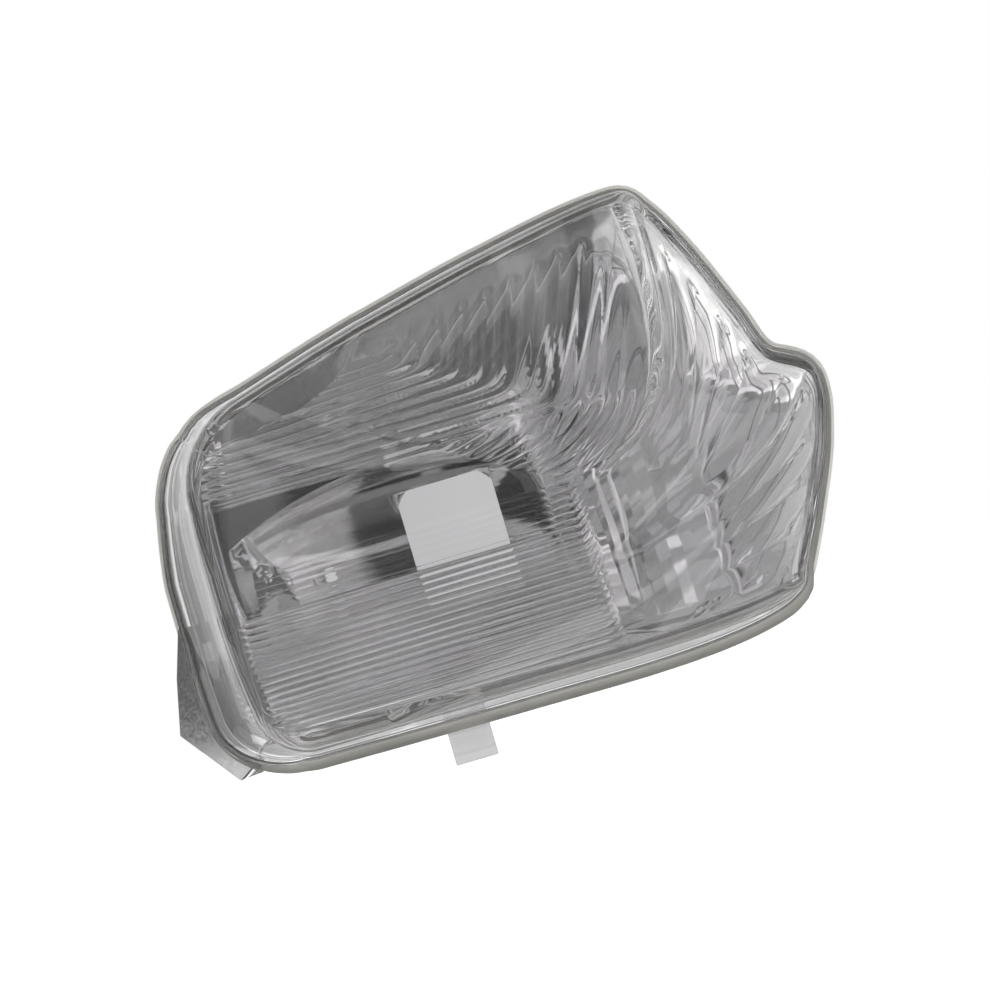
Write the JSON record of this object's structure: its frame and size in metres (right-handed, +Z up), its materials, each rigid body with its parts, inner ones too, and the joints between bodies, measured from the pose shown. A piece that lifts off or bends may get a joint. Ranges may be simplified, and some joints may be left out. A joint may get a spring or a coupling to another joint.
{
  "type": "vehicle indicator lamp",
  "caption": "Left-hand door mirror indicator lamp of a large van: a smoked clear, fluted lens on a metallised reflector housing, the bulb hole open.",
  "frame": {"origin": "on the bulb axis, in the plane where the bulb holder seats in its socket, 13.5 mm behind the plane where lens and housing meet", "axes": "+X outboard, away from the vehicle; +Z up; +Y rearward along the bulb axis, out of the socket; the lens faces -Y"},
  "size_m": [0.1445, 0.0567, 0.1026],
  "materials": {
    "smoked_lens": "polished smoked clear acrylic, light and neutral in tint",
    "metallised_housing": "bright vacuum metallised plastic, a little waved"
  },
  "bodies": {
    "root": {"lens": "smoked_lens", "housing": "metallised_housing"}
  },
  "joints": []
}
